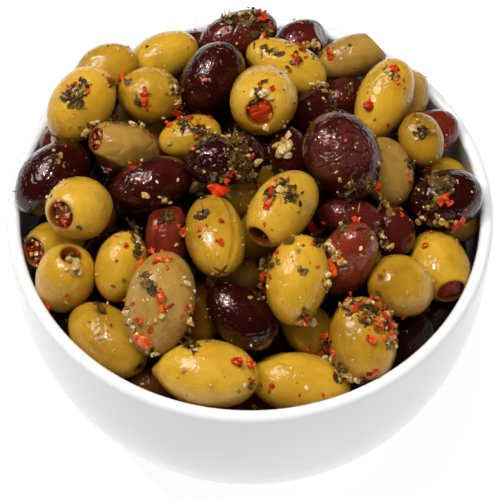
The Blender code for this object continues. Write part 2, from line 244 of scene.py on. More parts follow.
HERBS = [
    (75, 97, 9, 34), (84, 86, 5, 8), (138, 101, 3, 6), (111, 84, 3, 5), (258, 94, 3, 4), (257, 101, 4, 5),
    (283, 185, 4, 12), (291, 198, 5, 18), (272, 196, 6, 14), (447, 185, 6, 22), (440, 195, 5, 16),
    (434, 178, 6, 14), (449, 229, 5, 12), (430, 205, 6, 12), (421, 132, 5, 18), (352, 306, 7, 24),
    (376, 306, 7, 26), (386, 324, 6, 18), (368, 318, 7, 18), (392, 345, 4, 10), (325, 344, 5, 16),
    (340, 372, 7, 14), (362, 382, 8, 10), (152, 289, 4, 12), (136, 233, 4, 14), (146, 278, 4, 10),
    (193, 346, 6, 14), (250, 384, 3, 5), (302, 270, 3, 6), (306, 318, 5, 14), (250, 20, 9, 26),
    (232, 22, 9, 16), (266, 30, 6, 16), (276, 52, 5, 4), (294, 62, 7, 5), (262, 48, 6, 3), (395, 72, 6, 4),
    (203, 215, 4, 8), (181, 234, 4, 10), (330, 108, 6, 12), (134, 226, 3, 10), (137, 241, 3, 12),
    (136, 253, 3, 8), (181, 124, 7, 16), (200, 130, 6, 12), (166, 217, 5, 14), (384, 242, 4, 12),
    (343, 229, 5, 10), (368, 232, 5, 8), (370, 183, 5, 12), (352, 190, 8, 10), (176, 92, 5, 8),
    (180, 112, 5, 10), (58, 160, 4, 6), (30, 240, 4, 8), (97, 304, 3, 4), (350, 90, 6, 8), (316, 55, 5, 8),
    (411, 165, 4, 8), (272, 262, 5, 8), (318, 245, 5, 8), (200, 197, 5, 8), (237, 156, 7, 30),
    (243, 164, 6, 22), (230, 140, 6, 18), (241, 138, 6, 16), (247, 175, 6, 20), (234, 168, 6, 18),
    (222, 178, 6, 16), (207, 136, 4, 10), (212, 183, 4, 8),
]
STRIPS = [
    (172, 80, 180, 110, 26, 3), (322, 238, 343, 263, 30, 4), (126, 308, 137, 338, 20, 2.5),
    (264, 262, 262, 296, 16, 2.5), (300, 318, 314, 326, 14, 3), (336, 372, 368, 382, 18, 2.5),
    (388, 306, 396, 340, 24, 3), (192, 292, 186, 345, 16, 2), (326, 275, 328, 292, 10, 2.5),
    (85, 134, 100, 118, 10, 3), (110, 120, 146, 128, 16, 3), (205, 186, 262, 192, 12, 4),
    (262, 150, 252, 178, 9, 4), (318, 82, 330, 92, 12, 3), (285, 44, 318, 46, 16, 3),
    (386, 66, 404, 86, 12, 4), (256, 92, 270, 96, 6, 4), (222, 14, 262, 14, 14, 3),
    (418, 216, 462, 226, 20, 4), (368, 186, 392, 214, 16, 4), (376, 226, 392, 252, 14, 4),
    (131, 218, 139, 256, 18, 3), (346, 305, 376, 300, 16, 3), (322, 336, 326, 362, 14, 3),
    (140, 346, 160, 352, 8, 3),
]
LEAVES = [
    (189, 345, 6.5), (181, 341, 4), (101, 311, 4.6), (79, 227, 2.6), (151, 288, 4.4), (303, 271, 2.8),
    (292, 190, 4.2), (243, 150, 4.6), (134, 232, 5), (137, 248, 3.6), (183, 226, 3.6), (436, 184, 5.5),
    (444, 180, 4.8), (334, 108, 5), (343, 112, 3.6), (253, 36, 5), (246, 24, 4.4), (290, 242, 5),
    (305, 318, 3.8), (127, 82, 2.6), (264, 82, 3), (390, 74, 3.2), (421, 134, 3.6), (380, 250, 3),
    (226, 142, 4.6), (240, 170, 4.4), (213, 176, 3.6), (371, 311, 3.4), (335, 378, 3), (264, 360, 2.4),
]
STAINS = [
    (128, 83, 1.8), (100, 311, 2.3), (137, 103, 1.5), (139, 367, 1.3), (193, 346, 1.6), (299, 251, 1),
    (124, 281, 0.9), (79, 227, 1.1), (302, 271, 0.9), (250, 384, 1.1),
]
TWIGS = [(358.6, 208, 5.6, 75), (280, 199, 3.6, 95), (343, 268, 3.0, 30), (270, 150, 2.6, 140)]
PEPPER = (218.5, 181, 7.0, 4.6)


# Turned forms

def rounded_side(radius, half_height, depth):
    bulge = np.abs(depth - BELLY_DEPTH) / half_height
    return radius * np.maximum(1 - bulge ** BODY_SQUARENESS, 0) ** (1 / BODY_SQUARENESS)


def outer_radius(depth):
    return rounded_side(RIM_RADIUS + BELLY, BODY_HALF_HEIGHT, depth)


def inner_radius(depth):
    return rounded_side(RIM_RADIUS + BELLY - WALL, HEIGHT - FLOOR_THICKNESS - BELLY_DEPTH, depth)


def rounded(corner, before, after, radius, count=5):
    """Points that round a profile's corner off."""
    corner, before, after = (np.array(point, float) for point in (corner, before, after))
    start = corner + unit(before - corner) * radius
    end = corner + unit(after - corner) * radius
    share = np.linspace(0, 1, count)[:, None]
    curve = start * (1 - share) ** 2 + 2 * corner * share * (1 - share) + end * share ** 2
    return list(map(tuple, curve))


def bowl_profile():
    lip = WALL / 2
    under_lip = [lip * 3, lip * 2, lip * 1.4]
    reach = HEIGHT - FLOOR_THICKNESS - BELLY_DEPTH
    depths = [BELLY_DEPTH + reach * cos(turn) ** (2 / BODY_SQUARENESS)
              for turn in np.linspace(0, pi / 2, SIDE_POINTS)[1:-1]]
    inside = [(0, FLOOR_THICKNESS)]
    inside += [(inner_radius(depth), HEIGHT - depth) for depth in depths + under_lip]
    middle = (inner_radius(lip) + outer_radius(lip)) / 2
    arc = [(middle - lip * cos(turn), HEIGHT - lip + lip * sin(turn)) for turn in np.linspace(0, pi, 19)]
    outside = [(outer_radius(depth), HEIGHT - depth) for depth in reversed(under_lip)]
    for share in np.linspace(0, 1, SIDE_POINTS)[1:]:
        depth = BELLY_DEPTH + (HEIGHT - FOOT_HEIGHT - BELLY_DEPTH) * sin(share * pi / 2)
        outside.append((max(outer_radius(depth), FOOT_RADIUS), HEIGHT - depth))
    inner = FOOT_RADIUS - FOOT_RING_WIDTH
    corners = [outside.pop(), (FOOT_RADIUS, FOOT_HEIGHT), (FOOT_RADIUS, 0), (inner, 0),
               (inner, FOOT_RECESS), (0, FOOT_RECESS)]
    foot = []
    for before, corner, after, radius in zip(corners, corners[1:], corners[2:], (0.8, 0.7, 0.6, 0.6)):
        foot += rounded(corner, before, after, radius * MM)
    return inside + arc + outside + foot + corners[-1:]


def placed(name, data):
    made = bpy.data.objects.new(name, data)
    bpy.context.scene.collection.objects.link(made)
    return made


def turned(profile, steps):
    """The smooth mesh of a profile turned about Z."""
    mesh = bpy.data.meshes.new("outline")
    points = [(radius, 0, height) for radius, height in profile]
    mesh.from_pydata(points, [(i, i + 1) for i in range(len(points) - 1)], [])
    outline = placed("outline", mesh)
    screw = outline.modifiers.new("Turn", "SCREW")
    screw.steps = steps
    screw.render_steps = steps
    screw.use_merge_vertices = True
    screw.merge_threshold = 0.000005
    mesh = bpy.data.meshes.new_from_object(outline.evaluated_get(bpy.context.evaluated_depsgraph_get()))
    bpy.data.objects.remove(outline, do_unlink=True)
    mesh.shade_smooth()
    return mesh


# Noise and other sums

def unit(vector):
    return vector / norm(vector)


def noise(points, seed=0):
    """Smooth noise between -1 and 1 at an array of points, one cell to a unit."""
    cell = np.floor(points).astype(np.int64)
    part = points - cell
    part = part * part * (3 - 2 * part)
    total = np.zeros(points.shape[:-1])
    for corner in product((0, 1), repeat=3):
        at = cell + corner
        mixed = (at[..., 0] * 73856093) ^ (at[..., 1] * 19349663) ^ (at[..., 2] * 83492791) ^ (seed * 7919)
        mixed = ((mixed ^ (mixed >> 13)) * 1274126177) & 0xFFFFFFFF
        value = ((mixed ^ (mixed >> 15)) & 0xFFFF) / 32767.5 - 1
        total += value * np.where(corner, part, 1 - part).prod(-1)
    return total


def smooth_step(low, high, value):
    share = np.clip((value - low) / (high - low), 0, 1)
    return share * share * (3 - 2 * share)


def hump(value, width):
    return np.exp(-(value / width) ** 2)


# Where the olives lie

TOWARDS = np.array((0, cos(VIEW_ELEVATION), -sin(VIEW_ELEVATION)))
RIGHT = np.array((1.0, 0, 0))
UP = np.cross(RIGHT, TOWARDS)
EYE = np.array((0, 0, HEIGHT)) - TOWARDS * VIEW_DISTANCE


def sight(across, down):
    """Unit vectors from the eye through pixels of the picture."""
    across = (np.atleast_1d(across) - RIM_MIDDLE[0]) / VIEW_FOCAL
    down = (np.atleast_1d(down) - RIM_MIDDLE[1]) / VIEW_FOCAL
    lines = TOWARDS + across[:, None] * RIGHT - down[:, None] * UP
    return lines / norm(lines, axis=1, keepdims=True)


def mound_height(x, y):
    out = (x * x + y * y) / MOUND_RADIUS ** 2
    edge = (MOUND_FRONT + MOUND_BACK) / 2 + (MOUND_BACK - MOUND_FRONT) / 2 * y / MOUND_RADIUS
    return HEIGHT + edge + (MOUND_TOP - edge) * (1 - out)


def lay_out(olives):
    """The olives' middles on the mound, their lines of sight, their axes and half their sizes."""
    lines = sight([o.across for o in olives], [o.down for o in olives])
    lift = np.array([o.lift for o in olives]) * MM
    reach = np.full(len(olives), VIEW_DISTANCE)
    for _ in range(LAY_ROUNDS):
        middles = EYE + lines * reach[:, None]
        above = middles[:, 2] - mound_height(middles[:, 0], middles[:, 1]) - lift
        reach -= LAY_PACE * above / lines[:, 2]
    turn = np.radians([o.turn for o in olives])[:, None]
    lean = np.radians([o.lean for o in olives])[:, None]
    axes = (RIGHT * np.cos(turn) + UP * np.sin(turn)) * np.cos(lean) - lines * np.sin(lean)
    halves = np.array([(o.length, o.width) for o in olives]) * MM / 2
    return middles, lines, axes, halves


def settle(middles, axes, halves, lines=None, held=0, rounds=SETTLE_ROUNDS):
    """Push the olives apart until they only touch each other, the bowl's wall and its lip.

    With lines they slide along them, and a little sideways. Without, they go any way, apart from the
    first ones, which are held.
    """
    long, thick = halves[:, :1], halves[:, 1:]
    spread = np.linspace(-1, 1, BALLS) * ((long ** 2 - thick ** 2) / long)
    reach = (thick * np.sqrt(1 - spread ** 2 / (long ** 2 - thick ** 2))).reshape(-1)
    offsets = spread[..., None] * axes[:, None]
    start = middles.copy()
    count = len(middles)
    owner = np.repeat(np.arange(count), BALLS)
    apart = reach[:, None] + reach[None]
    lip = WALL / 2

    def by_pair(values):
        values = values.reshape(count, BALLS, count, BALLS, *values.shape[2:]).swapaxes(1, 2)
        return values.reshape(count, count, BALLS * BALLS, *values.shape[4:])

    for _ in range(rounds):
        balls = (middles[:, None] + offsets).reshape(-1, 3)
        between = balls[:, None] - balls[None]
        distance = norm(between, axis=2) + TINY
        overlap = np.maximum(apart - distance, 0)
        overlap[owner[:, None] == owner[None]] = 0
        push = by_pair(between * (overlap / distance / 2)[..., None])
        closest = by_pair(overlap).argmax(2)
        push = np.take_along_axis(push, closest[..., None, None], 2)[:, :, 0].sum(1)
        outward = balls * (1, 1, 0)
        ring = norm(outward, axis=1)
        outward /= ring[:, None]
        depth = HEIGHT - balls[:, 2]
        into_wall = np.where(depth > 0, ring + reach - inner_radius(np.maximum(depth, 0)), 0)
        wall_push = -outward * np.maximum(into_wall, 0)[:, None]
        from_lip = outward * (ring - RIM_RADIUS + lip)[:, None] + (0, 0, 1) * (lip - depth)[:, None]
        lip_distance = norm(from_lip, axis=1)
        into_lip = np.where(depth < lip, np.maximum(reach + lip - lip_distance, 0), 0)
        wall_push += from_lip * (into_lip / lip_distance)[:, None]
        wall_push = wall_push.reshape(count, BALLS, 3)
        hardest = norm(wall_push, axis=2).argmax(1)
        push += wall_push[np.arange(count), hardest]
        if lines is None:
            push[:held] = 0
            middles = middles + push * SETTLE_PACE
            continue
        along = (push * lines).sum(1, keepdims=True) * lines
        moved = middles + (along + (push - along) * SIDE_SHARE) * SETTLE_PACE - start
        along = (moved * lines).sum(1, keepdims=True) * lines
        sideways = moved - along
        drift = norm(sideways, axis=1, keepdims=True)
        middles = start + along + sideways * np.minimum(1, SIDE_PLAY / np.maximum(drift, TINY))
    return middles


LOWER_SPACING = 16.5 * MM
ROW_SHARE = 0.87             # of the spacing, from one row to the next
LOWER_DROP = 13.5 * MM       # of the lower olives' middles, below the mound
LOWER_REACH = 64 * MM
LOWER_JITTER = 1.2 * MM


def lower_olives():
    """Olives for a second layer, on a jittered honeycomb under the mound."""
    found, middles, axes = [], [], []
    for row, place in product(range(-5, 6), repeat=2):
        x = (place + 0.5 * (row % 2)) * LOWER_SPACING + random.normal(0, LOWER_JITTER)
        y = row * LOWER_SPACING * ROW_SHARE + random.normal(0, LOWER_JITTER)
        if x * x + y * y > LOWER_REACH ** 2:
            continue
        kind = random.choice(["green", "dark", "khaki", "red"], p=[0.3, 0.5, 0.08, 0.12])
        length = draw(19, 25)
        width = length * draw(0.68, 0.78)
        # The lower olives' tones, from -1.3 to -0.8, darken and brown them as painted shade.
        found.append(olive(kind, 0, 0, length, width, 0, draw(-1.3, -0.8)))
        middles.append((x, y, mound_height(x, y) - LOWER_DROP))
        heading = draw(0, tau)
        rise = draw(-0.5, 0.5)
        axes.append((cos(heading) * cos(rise), sin(heading) * cos(rise), sin(rise)))
    halves = np.array([(o.length, o.width) for o in found]) * MM / 2
    return found, np.array(middles), np.array(axes), halves


# Meshes gathered from many small bodies

class Gathered:
    """Points and triangles of many bodies, with their paint, that become one piece."""

    def __init__(self):
        self.points, self.faces, self.own, self.tint = [], [], [], []
        self.count = 0

    def add(self, points, faces, own=0, tint=0):
        self.points.append(points)
        self.faces.append(faces + self.count)
        self.own.append(own)
        self.tint.append(np.broadcast_to(tint, points.shape))
        self.count += len(points)

    def arrays(self):
        return np.concatenate(self.points), np.concatenate(self.faces)

    def build(self, name, material, smooth=True):
        points, faces = self.arrays()
        mesh = bpy.data.meshes.new(name)
        mesh.from_pydata(points.tolist(), [], faces.tolist(), shade_flat=not smooth)
        own = mesh.attributes.new("own", "FLOAT_VECTOR", "POINT")
        own.data.foreach_set("vector", np.concatenate(self.own).astype(np.float32).ravel())
        tint = mesh.attributes.new("tint", "FLOAT_COLOR", "POINT")
        painted = np.pad(np.concatenate(self.tint), ((0, 0), (0, 1)), constant_values=1)
        tint.data.foreach_set("color", painted.astype(np.float32).ravel())
        dress(placed(name, mesh), material, "olive_heap")


def dress(piece, material, node_name):
    piece.data.materials.append(material)
    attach(piece, "root")
    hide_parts(node_name)


def turned_grid(radii, heights, segments):
    """Points about Z for a profile whose first and last point are on the axis, their triangles, and
    the number of each point's ring."""
    turn = np.arange(segments) * tau / segments
    inner = np.stack((np.outer(radii[1:-1], np.cos(turn)), np.outer(radii[1:-1], np.sin(turn)),
                      np.repeat(heights[1:-1, None], segments, 1)), -1).reshape(-1, 3)
    points = np.concatenate(([(0, 0, heights[0])], inner, [(0, 0, heights[-1])]))
    rings = len(radii) - 2
    here = np.arange(segments)
    after = (here + 1) % segments
    faces = [np.stack((np.zeros_like(here), 1 + here, 1 + after), 1)]
    for a in range(1, len(inner) - segments, segments):
        b = a + segments
        faces.append(np.stack((a + here, b + here, b + after), 1))
        faces.append(np.stack((a + here, b + after, a + after), 1))
    a = 1 + len(inner) - segments
    faces.append(np.stack((a + here, np.full_like(here, len(points) - 1), a + after), 1))
    ring_of = np.concatenate(([0], np.repeat(np.arange(1, rings + 1), segments), [rings + 1]))
    return points, np.concatenate(faces), ring_of


HOLE_LIP = 0.7               # these are in mm, like the olives' own sizes
HOLE_DEPTH = 6.5
SLICE_FACING = np.array((0.42, 0, 0.91))

# Rings and segments of an olive
CRACKED_GRID = (150, 190)
WRINKLED_GRID = (76, 96)
PLAIN_GRID = (46, 60)
LOWER_GRID = (22, 32)
WRINKLED = 0.3               # the depth of folds, in mm, from which they need the finer grid


def hole_start(o):
    """Where a hole's rim lies on an olive: its turn from the axis and its height in mm."""
    start = np.arcsin(min((o.hole + HOLE_LIP) / (o.width / 2), 0.95))
    return start, o.length / 2 * cos(start)


def olive_profile(o, rings):
    """Radius and height in mm from the head to the tail, and how many rings lie in the hole."""
    long, thick = o.length / 2, o.width / 2
    start = 0
    hole = []
    if o.hole:
        start, top = hole_start(o)
        hole = [(0, top - HOLE_DEPTH), (o.hole * 0.6, top - HOLE_DEPTH)]
        hole += [(o.hole * 0.97, top - HOLE_LIP - drop) for drop in (4.6, 3.2, 2.0, 1.0, 0.3)]
        for turn in np.linspace(pi, pi / 2, 6)[:-1]:
            hole.append((o.hole + HOLE_LIP * (1 + cos(turn)), top - HOLE_LIP * (1 - sin(turn))))
    turn = start + (pi - start) * np.linspace(0, 1, rings)
    radii = thick * np.sin(turn) * (1 + o.egg * np.cos(turn))
    heights = long * np.cos(turn) - o.tip * hump(pi - turn, 0.22)
    heights -= o.dimple * (hump(turn, 0.13) + 0.5 * hump(turn, 0.35))
    radii[-1] = 0
    if not hole:
        radii[0] = 0
        return radii, heights, 0
    hole = np.array(hole)
    return np.concatenate((hole[:, 0], radii)), np.concatenate((hole[:, 1], heights)), len(hole)


def frame_of(axis, towards, roll):
    """A body's own axes: Z is its axis, and X faces a direction as nearly as it can."""
    side = unit(towards - axis * (towards @ axis))
    other = np.cross(axis, side)
    return np.stack((side * cos(roll) + other * sin(roll), other * cos(roll) - side * sin(roll), axis))


def skin_tint(o, local, at, outside):
    """The paint of one olive: its tone, soft patches, a darker tail, and painted shade inside its hole."""
    base, light = (np.array(colour) for colour in SKINS[o.kind])
    tone = np.clip(o.tone + 0.45 * noise(at * 0.09, 3) + 0.2 * noise(at * 0.3, 4), -1.5, 1)[:, None]
    darker = base * (1 + tone * (1 - DARKER) * (0.94, 1.05, 1.1))
    tint = np.where(tone > 0, base + (light - base) * tone, darker)
    near_tail = smooth_step(0.9, 1.0, -local[:, 2] / (o.length / 2))[:, None]
    tint = tint * (1 - 0.35 * near_tail)
    # Painted shade: the inside of the hole is darkened
    if o.hole:
        inside = np.clip(1 - outside, 0, 1)[:, None]
        tint = tint * (1 - inside) + base * HOLE_SHADE * inside
    return tint


def shape_olive(o, middle, axis, towards, rings, segments):
    """One olive's points in metres, its triangles, its own coordinates in mm and its paint."""
    radii, heights, in_hole = olive_profile(o, rings)
    local, faces, ring_of = turned_grid(radii, heights, segments)
    outside = smooth_step(in_hole - 3, in_hole + 2, ring_of) if in_hole else np.ones(len(local))
    at = local + draw(-500, 500, 3)
    x, y, z = local.T
    out = np.hypot(x, y)
    long, thick = o.length / 2, o.width / 2
    normal = local / (thick ** 2, thick ** 2, long ** 2)
    normal /= norm(normal, axis=1, keepdims=True) + TINY
    tint = skin_tint(o, local, at, outside)
    swell = 0.035 * thick * noise(at * 0.11, 1) + 0.012 * thick * noise(at * 0.35, 2)
    if o.wrinkle:
        warped = at * (0.42, 0.42, 0.20) + 0.5 * np.stack([noise(at * 0.3, s) for s in (5, 6, 7)], -1)
        creases = smooth_step(0.55, 1.0, 1 - np.abs(noise(warped, 8)) * 1.6)
        fine = smooth_step(0.5, 1.0, 1 - np.abs(noise(warped * 2.3, 9)) * 1.5)
        where = 0.45 + 0.55 * smooth_step(-0.3, 0.5, noise(at * 0.08, 10))
        swell -= o.wrinkle * where * (0.62 * creases + 0.26 * fine)
    if o.cracked:
        where = smooth_step(0.62, 0.35, np.abs(z / long - 0.14) + 0.15 * noise(at * 0.25, 30))
        where = where * smooth_step(0.5, 0.8, x / thick + 0.15 * noise(at * 0.3, 29))
        folds = 3.1 * noise(at * 0.16, 31) + 0.7 * noise(at * 0.42, 32) + 0.12 * noise(at * 1.2, 33)
        cracks = where * hump(np.sin(pi * folds), 0.26) * smooth_step(-0.9, -0.1, noise(at * 0.3, 34))
        swell -= o.cracked * (cracks - 0.3 * where)
        tint = tint + (DRIED - tint) * (0.7 * where)[:, None]
        # Painted shade: the cracks are painted darker than the dried skin around them
        tint = tint * (1 - 0.68 * cracks)[:, None]
    if o.cleft:
        swell -= o.cleft * hump(y, 0.7) * (x > 0) * smooth_step(1.0, 0.75, np.abs(z) / long)
    if o.cut:
        across = np.minimum(np.abs(x), np.abs(y))
        near = (z > 0) * smooth_step(o.cut, o.cut * 0.7, out)
        swell -= 1.6 * hump(across, 0.30) * near
        # Painted shade inside the slits of the cut
        tint = tint * (1 - CUT_SHADE * (hump(across, 0.38) * near)[:, None])
    if o.dimple:
        scar = out * (1 + 0.5 * noise(at * 0.9, 20))
        scar = np.exp(-(scar / (0.5 + o.dimple)) ** 4) * (z > 0)
        tint = tint * (1 - scar[:, None] * IN_SCAR)
    local = local + normal * (swell * outside)[:, None]
    for _ in range(o.flats):
        facing = unit(random.normal(size=3) * (thick, thick, long * 0.6))
        far = np.sqrt(((facing * (thick, thick, long)) ** 2).sum())
        over = local @ facing - far * draw(0.82, 0.93)
        local -= (np.logaddexp(0, over * 4) / 4 * outside)[:, None] * facing
    if o.sliced:
        over = local @ SLICE_FACING - long * (1 - o.sliced)
        local -= (np.logaddexp(0, over * 7) / 7)[:, None] * SLICE_FACING
    marked = o.cleft or o.cut or o.sliced or o.cracked
    turn = frame_of(axis, towards, radians(o.roll) if marked else draw(0, tau))
    # Painted shade: the skin gets darker and browner where it faces down
    underside_shade = smooth_step(0.55, -0.4, (normal @ turn)[:, 2])[:, None]
    tint = tint * (1 - underside_shade * UNDERSIDE_SHADE)
    return middle + local @ turn * MM, faces, at, tint


def make_olives():
    """All the olives, gathered by kind, with the places that the plugs need."""
    middles, lines, axes, halves = lay_out(OLIVES)
    middles = settle(middles, axes, halves, lines)
    lower, low_middles, low_axes, low_halves = lower_olives()
    pairs = (middles, low_middles), (axes, low_axes), (halves, low_halves)
    settled = settle(*(np.concatenate(pair) for pair in pairs), held=len(OLIVES), rounds=LOWER_ROUNDS)
    kinds = {kind: Gathered() for kind in SKINS}
    under = Gathered()
    for o, middle, axis, line in zip(OLIVES, middles, axes, lines):
        grid = CRACKED_GRID if o.cracked else WRINKLED_GRID if o.wrinkle > WRINKLED else PLAIN_GRID
        kinds[o.kind].add(*shape_olive(o, middle, axis, -line, *grid))
    for o, middle, axis in zip(lower, settled[len(OLIVES):], low_axes):
        under.add(*shape_olive(o, middle, axis, np.array((0.3, 0.2, 0.9)), *LOWER_GRID))
    return kinds, under, middles, axes


# Small toppings

def loose_frame(normal, tilt):
    """Axes for something that lies on a surface, turned at random and tilted a little."""
    leaning = unit(normal + random.normal(0, tilt, 3))
    side = unit(np.cross(leaning, random.normal(size=3)))
    return np.stack((side, np.cross(leaning, side), leaning))


def ball_mesh(divisions):
    ball = bmesh.new()
    bmesh.ops.create_icosphere(ball, subdivisions=divisions, radius=1)
    ball.verts.index_update()
    points = np.array([corner.co for corner in ball.verts])
    faces = np.array([[corner.index for corner in face.verts] for face in ball.faces])
    ball.free()
    return points, faces


FINE_BALL = ball_mesh(3)
BALL = ball_mesh(2)
GRAIN = ball_mesh(1)
CHIP_RADIUS = 0.62           # of a chip whose size is 1
SMALL_CHIP = 1.5             # in mm: larger ones have the finer mesh


def chip(size, mesh, flat=0.7, cuts=9, keep=0.5):
    """An angular lump of about this size, in mm: a ball cut flat on several sides."""
    points, faces = mesh
    points = points.copy()
    for _ in range(cuts):
        facing = unit(random.normal(size=3))
        points -= np.maximum(points @ facing - draw(keep, 0.85), 0)[:, None] * facing
    if mesh is FINE_BALL:
        seed = draw(0, 100, 3)
        rough = 1 + 0.16 * noise(points * 1.5 + seed, 22) + 0.10 * noise(points * 3.1 + seed, 23)
        points *= rough[:, None]
    stretch = np.array((draw(1.0, 1.3), draw(0.65, 0.95), flat))
    return points * stretch * size * CHIP_RADIUS, faces


def flake(size, thickness, narrow=0.75, curl=0.15, corners=11):
    """A torn flake with an uneven, slightly curled outline, in mm."""
    turn = np.arange(corners) * tau / corners + draw(-0.18, 0.18, corners)
    reach = size / 2 * draw(0.6, 1.15, corners)
    outline = np.stack((reach * np.cos(turn) * 1.15, reach * np.sin(turn) * 1.15 * narrow), 1)
    layers = [(0, 0.62), (0.55, 0.55), (0.92, 0.32), (1.0, 0.0), (0.9, -0.35), (0, -0.3)]
    points = [(0, 0, layers[0][1] * thickness)]
    for share, height in layers[1:-1]:
        bumps = height * thickness * draw(0.65, 1.35, corners)
        points += [(x, y, z) for (x, y), z in zip(outline * share, bumps)]
    points = np.array(points + [(0, 0, layers[-1][1] * thickness)])
    bend, fold, twist = draw(-0.5, 1, 3) * curl
    points[:, 2] += (bend * points[:, 0] ** 2 + fold * points[:, 1] ** 2 / narrow
                     + twist * points[:, 0] * points[:, 1]) * 2 / size
    _, faces, _ = turned_grid(np.linspace(0, 1, len(layers)), np.zeros(len(layers)), corners)
    return points, faces


def blade(length, width, thickness, curl):
    """A narrow curled leaf or stalk, in mm, closed and pointed at both ends."""
    stations = 7
    along = np.linspace(-1, 1, stations)
    half = width / 2 * (1 - along ** 2) ** 0.5 * draw(0.75, 1.15, stations)
    bend = draw(-1, 1) * curl
    twist = draw(-1, 1) * 1.2 * along
    middle = np.stack((along * length / 2, bend * 0.3 * length * along ** 2,
                       0.25 * curl * length * (along ** 2) * draw(-0.4, 1)), 1)
    points = [middle[0]]
    for place, size, turn in zip(middle[1:-1], half[1:-1], twist[1:-1]):
        for a, b in ((1, 0), (0, 1), (-1, 0), (0, -1)):
            side, rise = a * size, b * thickness / 2
            across = (0, side * cos(turn) - rise * sin(turn), side * sin(turn) + rise * cos(turn))
            points.append(place + across)
    points.append(middle[-1])
    _, faces, _ = turned_grid(np.linspace(0, 1, stations), np.zeros(stations), 4)
    return np.array(points), faces


def shade_of(colours, spread):
    """One of the colours, or a mix of two neighbours, made a little lighter or darker."""
    colours = np.array(colours)
    pick = draw(0, len(colours) - 1)
    low = int(pick)
    high = min(low + 1, len(colours) - 1)
    colour = colours[low] + (colours[high] - colours[low]) * (pick - low)
    return colour * np.exp(random.normal(0, spread))


CHILI_COLOURS = ((0.34, 0.016, 0.001), (0.58, 0.034, 0.002), (0.72, 0.060, 0.003), (0.75, 0.120, 0.007))
GARLIC_COLOURS = ((0.24, 0.120, 0.020), (0.44, 0.245, 0.045), (0.62, 0.400, 0.120), (0.74, 0.580, 0.330))
HERB_COLOURS = ((0.028, 0.011, 0.002), (0.055, 0.026, 0.003), (0.105, 0.056, 0.007), (0.22, 0.12, 0.02))
SPECK_COLOURS = ((0.12, 0.055, 0.012), (0.36, 0.21, 0.06), (0.64, 0.46, 0.20), (0.76, 0.64, 0.42))
TWIG_COLOUR = (0.42, 0.30, 0.13)
PEPPER_COLOUR = (0.62, 0.030, 0.003)
LARGE_GARLIC = 2.9           # in mm: larger bits are never of the darkest colour
BLADE_SHARE = 0.25           # of the herbs that are curled leaves
LEAF = 0.16                  # thickness in mm
SPECK_TRIES = 1000
LOWEST_TOPPING = 25 * MM     # below the rim, of those that are strewn by chance


class Toppings:
    """Drops small things on the olives, from the eye or from all round."""

    def __init__(self, pieces):
        together = Gathered()
        for piece in pieces:
            together.add(*piece.arrays())
        points, faces = together.arrays()
        self.tree = BVHTree.FromPolygons(points.tolist(), faces.tolist())
        self.parts = {part: Gathered() for part in BIT_LOOKS}

    def struck(self, start, line):
        """Where a line meets the olives, and the surface's direction there."""
        hit, normal, _, _ = self.tree.ray_cast(start.tolist(), line.tolist())
        return None if hit is None else (np.array(hit), np.array(normal))

    def seen(self, across, down):
        return self.struck(EYE, sight(across, down)[0])

    def around(self):
        """A random place on the olives' tops, seen from somewhere above."""
        out = RIM_RADIUS * np.sqrt(draw(0, 0.95))
        turn = draw(0, tau)
        target = np.array((out * cos(turn), out * sin(turn), HEIGHT))
        slope = random.normal(0, 0.45, 2)
        line = np.array((slope[0], slope[1] + 0.15, -1))
        place = self.struck(target - line * 0.2, unit(line))
        return place if place and place[0][2] >= HEIGHT - LOWEST_TOPPING else None

    def put(self, part, place, shape, tint, tilt, sink, turn=None):
        """Add a small body, given in mm, on a place."""
        if place is None:
            return
        hit, normal = place
        points, faces = shape
        axes = loose_frame(normal, tilt) if turn is None else turn
        self.parts[part].add(hit + (points @ axes + normal * sink) * MM, faces,
                             points + draw(-500, 500, 3), tint)

    def chili(self, place, size):
        """A chip with torn scraps about it."""
        if place is None:
            return
        ball = FINE_BALL if size > SMALL_CHIP else BALL
        shape = chip(size * 0.9, ball, draw(0.4, 0.65), 8, 0.35)
        self.put("chili", place, shape, shade_of(CHILI_COLOURS, 0.1), 0.4, size * 0.15)
        for _ in range(int(size / 0.9)):
            near = (place[0] + random.normal(0, size * 0.26 * MM, 3), place[1])
            scrap = flake(size * draw(0.4, 0.75), 0.3, draw(0.5, 0.9), 0.8, 7)
            self.put("chili", near, scrap, shade_of(CHILI_COLOURS, 0.15), 0.6, size * 0.2)

    def garlic(self, place, size):
        shape = chip(size, FINE_BALL if size > SMALL_CHIP else BALL, draw(0.5, 0.85))
        colour = shade_of(GARLIC_COLOURS[1:] if size > LARGE_GARLIC else GARLIC_COLOURS, 0.12)
        self.put("garlic", place, shape, colour, 0.5, size * 0.2)

    def herb(self, place, size):
        """A curled leaf or a torn flake."""
        if draw() < BLADE_SHARE:
            shape = blade(size * 1.2, size * draw(0.12, 0.25), 0.14, draw(0.1, 0.9))
        else:
            shape = flake(size, LEAF, draw(0.35, 0.75), 0.7, 8)
        self.put("herb", place, shape, shade_of(HERB_COLOURS, 0.3), 0.35, draw(0.05, 0.6))

    def speck(self, place, size):
        self.put("speck", place, chip(size, GRAIN, 0.8, 2), shade_of(SPECK_COLOURS, 0.2), 0.4, size * 0.12)

    def any_of(self, place, *choices):
        """One of several kinds, each with the share it reaches up to and its smallest and largest size."""
        pick = draw()
        for share, make, low, high in choices:
            if pick < share:
                make(place, draw(low, high))
                return


